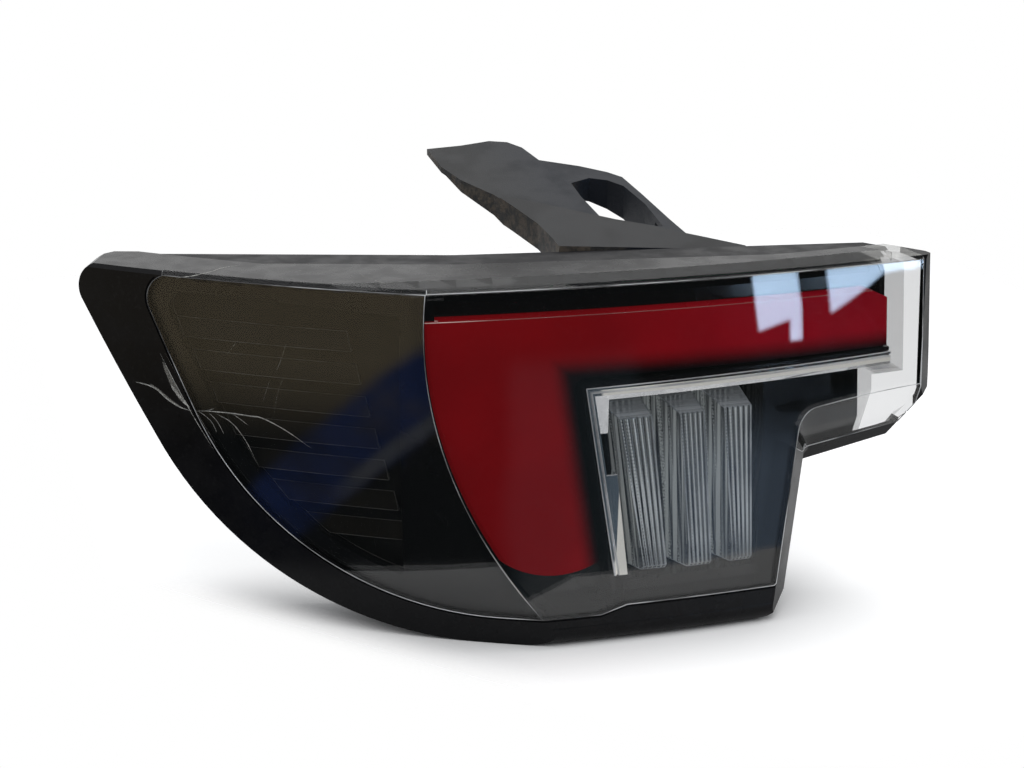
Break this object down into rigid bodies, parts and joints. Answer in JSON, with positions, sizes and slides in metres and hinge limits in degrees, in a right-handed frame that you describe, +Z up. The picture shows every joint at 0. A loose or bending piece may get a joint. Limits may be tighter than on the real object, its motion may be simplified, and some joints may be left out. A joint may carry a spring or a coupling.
{
  "type": "tail light cluster",
  "caption": "Left rear wrap-around tail light cluster with clear lens, red light panel, chrome-edged signal recess with clear bars, black border and rear mounting arm.",
  "frame": {"origin": "centre of the main stud's seat on the back of the housing", "axes": "+Z up, +Y forwards in the car along the studs, -Y is the lit face that looks out behind the car, -X towards the outer side of the car"},
  "size_m": [0.4025, 0.2102, 0.2087],
  "materials": {
    "clear_lens": "clear",
    "gloss_black": "gloss",
    "sealant": "matte",
    "housing_black": "matte",
    "red_plastic": "gloss",
    "chrome": "mirror",
    "clear_bar": "clear",
    "white_plastic": "satin",
    "board_green": "satin",
    "led": "satin",
    "chip_black": "matte",
    "plated_steel": "plated",
    "connector_grey": "matte",
    "pin_brass": "plated",
    "foam": "matte",
    "arm_black": "matte"
  },
  "bodies": {
    "root": {"outer_lens": "clear_lens", "lens_border": "gloss_black", "wing_rim": "gloss_black", "wing_divider": "clear_lens", "lens_seal": "sealant", "rear_housing": "housing_black", "inner_bezel": "gloss_black", "side_bezel": "gloss_black", "louvre_panel": "housing_black", "red_light_panel": "red_plastic", "chrome_trim": "chrome", "prism_bar_1": "clear_bar", "prism_bar_2": "clear_bar", "prism_bar_3": "clear_bar", "diffuser_panel": "white_plastic", "reflector_tray": "white_plastic", "tail_led_board": "board_green", "tail_leds": "led", "signal_led_board": "board_green", "signal_leds": "led", "driver_board": "board_green", "driver_chips": "chip_black", "board_screws": "plated_steel", "inner_harness": "chip_black", "connector_socket": "connector_grey", "contact_pins": "pin_brass", "socket_seal": "sealant", "mounting_studs": "plated_steel", "stud_gaskets": "foam", "vent_cap": "sealant", "mounting_arm": "arm_black", "arm_screws": "plated_steel"}
  },
  "joints": []
}
